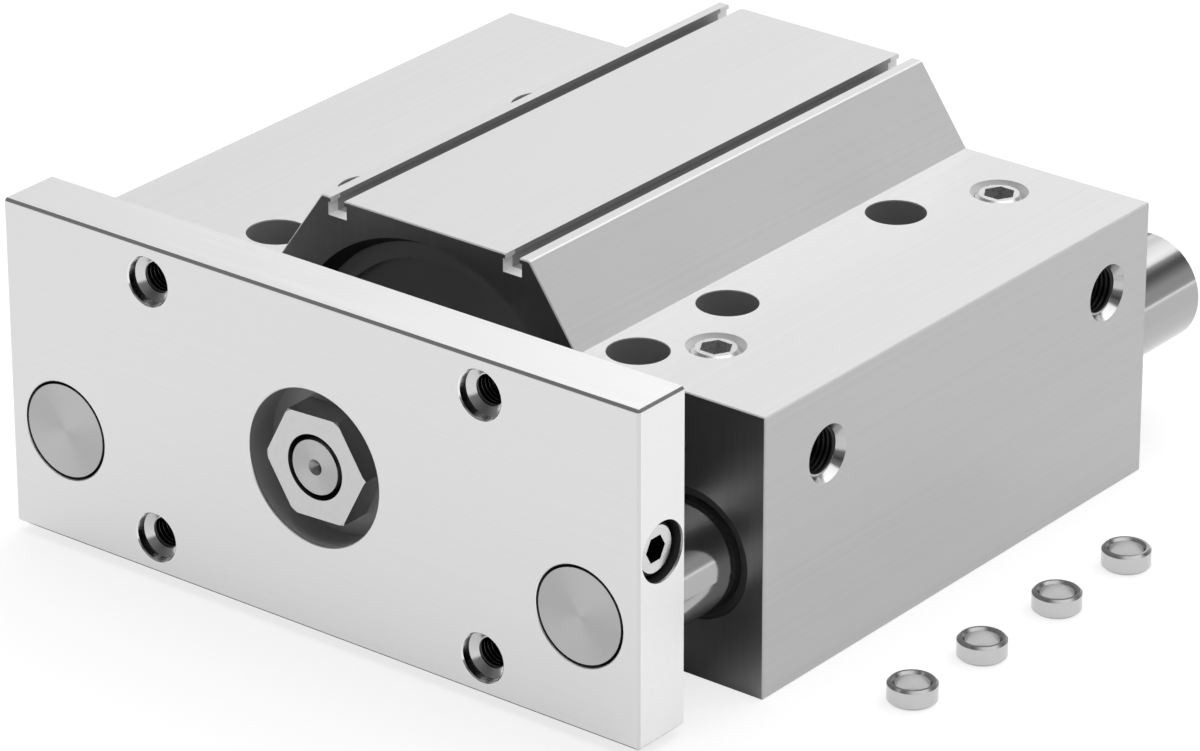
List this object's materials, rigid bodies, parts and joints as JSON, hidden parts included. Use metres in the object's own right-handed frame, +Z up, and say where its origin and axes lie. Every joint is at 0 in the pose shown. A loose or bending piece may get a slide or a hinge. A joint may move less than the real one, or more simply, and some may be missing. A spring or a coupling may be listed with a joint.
{
  "type": "guided pneumatic cylinder",
  "caption": "Guided pneumatic cylinder: a raised barrel between two guide blocks drives a yoke plate on a piston rod and two guide rods.",
  "frame": {"origin": "centre of the housing's base face", "axes": "+Z up from the base, +X towards the side with the air ports, the yoke plate faces -Y"},
  "size_m": [0.2306, 0.2294, 0.0912],
  "materials": {
    "anodised_housing": "clear anodised, satin",
    "turned_aluminium": "dark anodised, turned",
    "piston_aluminium": "turned",
    "ground_plate": "ground and plated",
    "chrome_rod": "ground and hard chromed",
    "plated_fastener": "zinc plated",
    "spring_steel": "phosphated",
    "bearing_bronze": "sintered, oil filled",
    "seal_rubber": "moulded",
    "magnet_compound": "magnet powder in plastic",
    "wear_plastic": "moulded",
    "sleeve_steel": "turned stainless"
  },
  "bodies": {
    "housing": {"bearing_cap": "turned_aluminium", "bearing_cap_o_ring": "seal_rubber", "bearing_retaining_ring": "spring_steel", "centring_sleeves": "sleeve_steel", "end_cap": "turned_aluminium", "end_cap_o_ring": "seal_rubber", "end_retaining_ring": "spring_steel", "front_cushion": "seal_rubber", "guide_bush_front_left": "bearing_bronze", "guide_bush_front_right": "bearing_bronze", "guide_bush_rear_left": "bearing_bronze", "guide_bush_rear_right": "bearing_bronze", "guide_wiper_left": "seal_rubber", "guide_wiper_right": "seal_rubber", "housing": "anodised_housing", "port_plug_front": "plated_fastener", "port_plug_rear": "plated_fastener", "rear_cushion": "seal_rubber", "rod_bush": "bearing_bronze", "rod_seal": "seal_rubber"},
    "carriage": {"yoke_plate": "ground_plate", "yoke_nut": "plated_fastener", "piston_rod": "chrome_rod", "piston_front_half": "piston_aluminium", "piston_rear_half": "piston_aluminium", "piston_nut": "plated_fastener", "piston_seal_front": "seal_rubber", "piston_seal_rear": "seal_rubber", "piston_o_ring": "seal_rubber", "wear_band": "wear_plastic", "magnet_ring": "magnet_compound", "guide_rod_left": "chrome_rod", "clamp_screw_left": "plated_fastener", "clamp_sleeve_left": "plated_fastener", "clamp_nut_left": "plated_fastener", "guide_rod_right": "chrome_rod", "clamp_screw_right": "plated_fastener", "clamp_sleeve_right": "plated_fastener", "clamp_nut_right": "plated_fastener"}
  },
  "joints": [
    {"name": "carriage_slide", "type": "slide", "parent": "housing", "child": "carriage", "axis": [0, -1, 0], "range_m": [0, 0.08]}
  ]
}
